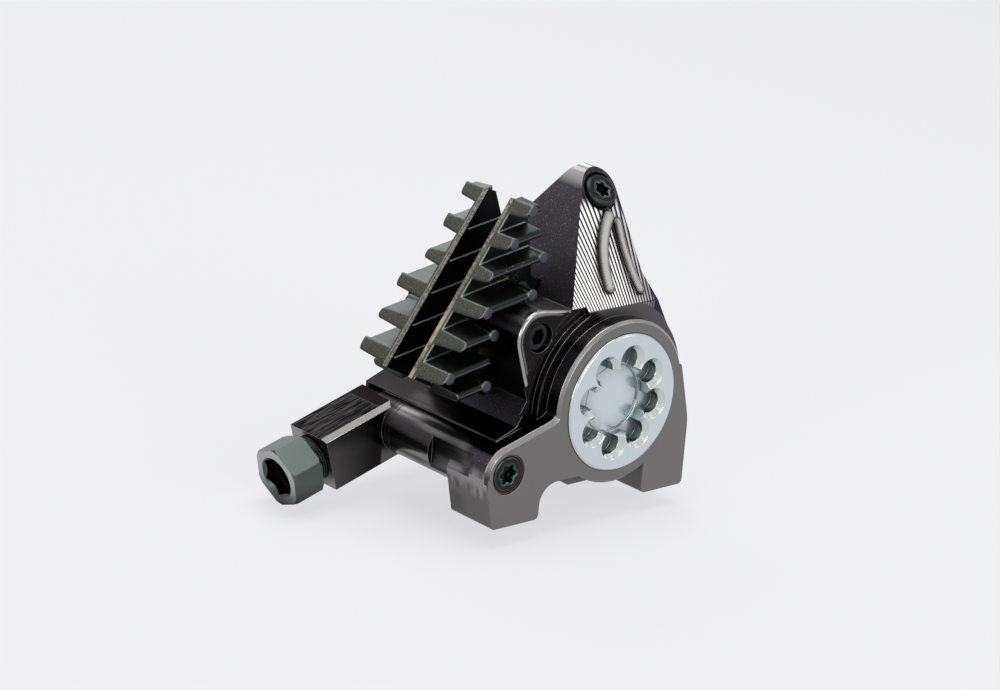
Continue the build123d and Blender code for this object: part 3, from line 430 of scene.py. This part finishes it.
# Friction blocks: sintered metal, brown with grains of about 0.4 mm, pressed on the plates. The
# rivets that hold the fins to the plates are plain steel.
friction = Look("sintered friction metal", "#5a4a40", 0.6, 0.7)
friction.put("Base Color", friction.layers("#3c332e", (friction.patches(0.4, 3.0), "#8a6f58")))
friction.relief(friction.patches(0.4), 0.0001, 0.6)
friction.dress("pad_friction_near", "pad_friction_far")
rivet = Look("steel rivet", "#6c6a68")
rivet.worn(1.67, 0.28, 0.42)
rivet.dress("fin_rivets_near", "fin_rivets_far")

# Pistons: moulded phenolic resin, dark brown and matt with a faint mottle, which slide in the bores
# behind the plates.
resin = Look("phenolic resin brown", "#2e2823", 0.0, 0.55)
resin.put("Base Color", resin.layers("#26211d", (resin.patches(2.0), "#3a322b")))
resin.dress("piston_near", "piston_far")

# Seals: dull black rubber rings that lie in their grooves, and the dark red one that shows round the
# plug's head.
rubber = Look("rubber black", "#141414", 0.0)
rubber.worn(1.25, 0.5, 0.7)
rubber.dress("bore_cap_seal", "piston_seal_near", "piston_seal_far", "bleed_screw_seal")
red = Look("rubber dark red", "#5a1d26", 0.0)
red.worn(1.25, 0.4, 0.5)
red.dress("passage_plug_seal")

# Screws, axle, clip and spring: the screws are blackened steel with a painted highlight along their
# edges and painted shade in their sockets, the axle is duller with painted shade in its socket, and
# the clip and the leaf spring between the pads are bright spring steel.
socket_depth = 0.0022
black = Look("steel blackened", "#4b5655", 1.0, 0.3, 0.0009)
black.worn(1.11, 0.1, 0.18)
# Painted shade in the sockets, painted highlight along the edges.
socket_occlusion = add(black.tree, "AmbientOcclusion", {"Distance": socket_depth}, "AO", samples=8)
head_with_highlight = black.layers("#262b2c", (black.all(black.edges(4.0), 0.5), "#7f9490"))
black.put("Base Color", black.layers("#050606", (black.above(socket_occlusion, 0.5, 0.35), head_with_highlight)))
black.dress("bleed_screw", "passage_plug")
pin = Look("steel blackened dull", "#222425", 1.0, 0.25, 0.0002)
# Painted shade in the axle's socket.
pin_occlusion = add(pin.tree, "AmbientOcclusion", {"Distance": socket_depth}, "AO", samples=8)
pin.put("Base Color", pin.layers("#0b0b0c", (pin.above(pin_occlusion, 0.3, 0.4), "#2b2d2e")))
pin.worn(1.11, 0.14, 0.24)
pin.dress("pad_axle")
steel = Look("steel spring bright", "#8f8e8a")
steel.worn(1.11, 0.22, 0.36)
steel.dress("pad_spring", "pad_axle_clip")

# Hose nut and olive: a hexagonal nut of grey-green anodised aluminium, paler on its mouth and
# painted dark inside as shade, screwed into the arm's end on to a brass compression ring.
nut = Look("aluminium anodised grey green", "#616966", 1.0, 0.34, 0.0002)
mouth = nut.above(nut.faces(arm_out), 0.9, 0.05)
# Painted shade darkens the nut inside.
nut_occlusion = add(nut.tree, "AmbientOcclusion", {"Distance": 0.006}, "AO", samples=6)
outside = nut.layers("#545b58", (mouth, "#a3a7a6"))
nut.put("Base Color", nut.layers("#121414", (nut.above(nut_occlusion, 0.62, 0.3), outside)))
nut.worn(1.67, 0.28, 0.42)
nut.dress("hose_nut")
brass = Look("brass plain", "#b89a58")
brass.worn(1.67, 0.25, 0.4)
brass.dress("hose_olive")

# Thread on the nut's neck: its first turns show between the arm and the hexagon. They are cut in the
# nut's own aluminium. One ring is made from a torus, square to the arm's slope, and then copied.


def ring(radius, thickness, segments, place, turn, look):
    """A thin ring: radius to its middle, thickness as the radius of its section."""
    bpy.ops.mesh.primitive_torus_add(major_segments=segments[0], minor_segments=segments[1],
                                     major_radius=radius, minor_radius=thickness,
                                     location=place, rotation=turn)
    piece = bpy.context.object
    bpy.ops.object.transform_apply(location=True, rotation=True, scale=True)
    bpy.ops.object.shade_smooth()
    piece.data.materials.append(look.material)
    return piece


def repeat(first, name, numbers, step, carrier):
    """Numbers a piece and its copies, each copy with its own mesh and one step further on."""
    for k, number in enumerate(numbers):
        piece = first
        if k:
            piece = bpy.data.objects.new(name, first.data.copy())
            piece.data.transform(Matrix.Translation(step * k))
            bpy.context.collection.objects.link(piece)
        piece.name = name + "_" + str(number)
        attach(piece, carrier)


plug = middle("passage_plug")
lug = Vector((plug.x, middle("hose_nut").y, plug.z))
neck_radius, thread_depth = 0.0038, 0.00022
thread_start, thread_pitch = 0.0162, 0.00046
square_to_arm = Vector((0, 0, 1)).rotation_difference(arm_out).to_euler()
turn_of_thread = ring(neck_radius, thread_depth, (72, 10), lug + arm_out * thread_start,
                      square_to_arm, nut)
repeat(turn_of_thread, "hose_nut_thread", range(1, 5), arm_out * thread_pitch,
       "housing")

# Seams where the arm's milling met the round tube: two fine dark lines cut round the tube's side,
# made as thin tori that lie half in the metal.
round_y = (math.pi / 2, 0, 0)
tube_radius, seam_half, seam_y, seam_step = 0.0048, 0.00005, 0.0204, 0.0009
seam = Look("shadow line in aluminium", "#0d0c0d", 0.4)
seam.worn(1.11, 0.3, 0.5)
seam_ring = ring(tube_radius, seam_half, (96, 8), (lug.x, seam_y, lug.z), round_y, seam)
repeat(seam_ring, "tube_seam", range(1, 3), Vector((0, seam_step, 0)), "housing")

# Ridges on the far plate's inner face: fine raised lines that run with the air flow, left by the die
# that forms the plate. One thin bar with rounded edges is turned to the fins' direction and copied.
flow_tilt = math.radians(9.9)
flow = Vector((math.cos(flow_tilt), 0, math.sin(flow_tilt)))
pad_up = Vector((pad_out.z, 0, -pad_out.x))
ridge_reach, ridge_top, ridge_step, ridge_inset = 0.0318, 0.01132, 0.00618, 0.0041
ridge_size, ridge_round, ridge_out = (0.0078, 0.00024, 0.0003), 0.00006, 0.00008
plate_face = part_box("pad_backplate_far")[0][1]
plate_middle = Vector((bore_axis.x, plate_face - ridge_out, bore_axis.z))
end = plate_middle + pad_up * ridge_top + pad_out * ridge_reach
bpy.ops.mesh.primitive_cube_add(size=1, location=end + flow * ridge_inset,
                                rotation=(0, -flow_tilt, 0), scale=ridge_size)
ridge = bpy.context.object
bpy.ops.object.transform_apply(location=True, rotation=True, scale=True)
soft = ridge.modifiers.new("soft", "BEVEL")
soft.width = ridge_round
soft.segments = 2
bpy.ops.object.modifier_apply(modifier="soft")
ridge.data.materials.append(fins.material)
repeat(ridge, "plate_ridge", range(2, 7), -pad_up * ridge_step, "far_pad")

# Ring at the foot of the cap's pocket: the bright burr of aluminium that the pocket's cutter left,
# a thin torus that lies half in the cap.
pocket_radius, pocket_depth, burr_half = 0.00602, 0.0027, 0.00008
pocket_foot = (bore_axis.x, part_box("bore_cap")[0][1] + pocket_depth, bore_axis.z)
burr = ring(pocket_radius, burr_half, (96, 8), pocket_foot, round_y, cap)
burr.name = "cap_pocket_ring"
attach(burr, "housing")

# Studio: a floor of pale card that keeps a faint shadow, and a pale world that the camera and the
# metal see but that lights the part only dimly. Soft boxes stand in front, above, at the left and
# behind.


def seen(tree):
    """1 for what the camera sees, straight or by way of metal or glass."""
    rays = add(tree, "LightPath", {}).node.outputs
    shown = rays["Is Camera Ray"]
    for kind in ("Is Glossy Ray", "Is Transmission Ray"):
        shown = add(tree, "Math", {0: shown, 1: rays[kind]}, operation="MAXIMUM")
    return shown


floor_gap = 0.0005
card_glow = 0.75
bpy.ops.mesh.primitive_plane_add(size=2.4, location=(0, 0, cad_box[0][2] - floor_gap))
floor = bpy.context.object
floor.name = "studio_floor"
pale = Look("card pale grey", "#efeff1", 0.0, 0.9)
pale.put("Specular IOR Level", 0.0)
glow = add(pale.tree, "Emission", {"Color": "#efeff1"})
share = pale.all(seen(pale.tree), card_glow)
card = add(pale.tree, "MixShader", {0: share, 1: pale.shader.outputs[0], 2: glow})
join(pale.tree.nodes["Material Output"].inputs["Surface"], card)
floor.data.materials.append(pale.material)
world = bpy.data.worlds.new("studio")
bpy.context.scene.world = world
world.use_nodes = True
sky_tree = world.node_tree
bright = sky_tree.nodes["Background"]
join(bright.inputs["Color"], "#efeff1")
dim = add(sky_tree, "Background", {"Color": "#b9bcc2", "Strength": 0.28})
sky = add(sky_tree, "MixShader", {0: seen(sky_tree), 1: dim, 2: bright.outputs[0]})
join(sky_tree.nodes["World Output"].inputs["Surface"], sky)
lit_point = Vector((0, 0.01, 0.025))
for name, place, size, power in (
    ("key_softbox", (-0.1, -0.8, 0.3), 0.5, 3.0),
    ("top_softbox", (0.0, 0.05, 0.85), 0.6, 4.5),
    ("slope_softbox", (0.55, -0.5, 0.5), 0.35, 0.72),
    ("left_softbox", (-0.85, -0.25, 0.25), 0.35, 2.2),
    ("rear_softbox", (0.15, 0.8, 0.7), 0.4, 1.2),
    ("rear_right_softbox", (0.5, 0.7, 0.4), 0.3, 0.8),
    ("rear_left_softbox", (-0.35, 0.7, 0.6), 0.3, 0.7),
):
    bpy.ops.object.light_add(type="AREA", location=place)
    lamp = bpy.context.object
    lamp.name = name
    lamp.data.size = size
    lamp.data.energy = power
    lamp.rotation_euler = (lit_point - Vector(place)).to_track_quat("-Z", "Y").to_euler()

# Camera: solved from the photograph's mounting feet, cap circles and parallel edges. It looks from
# the front left and a little above.
bpy.ops.object.camera_add(location=(-0.3341, -0.3433, 0.1821))
camera = bpy.context.object
camera.name = "photo_camera"
view_right, view_up = (0.751, -0.656, 0.076), (0.150, 0.282, 0.948)
view_back = (-0.643, -0.701, 0.310)
camera.rotation_euler = Matrix((view_right, view_up, view_back)).transposed().to_euler()
camera.data.lens = 108.14
camera.data.sensor_width = 36.0
camera.data.clip_start = 0.01
bpy.context.scene.camera = camera
bpy.context.scene.view_settings.view_transform = "Standard"
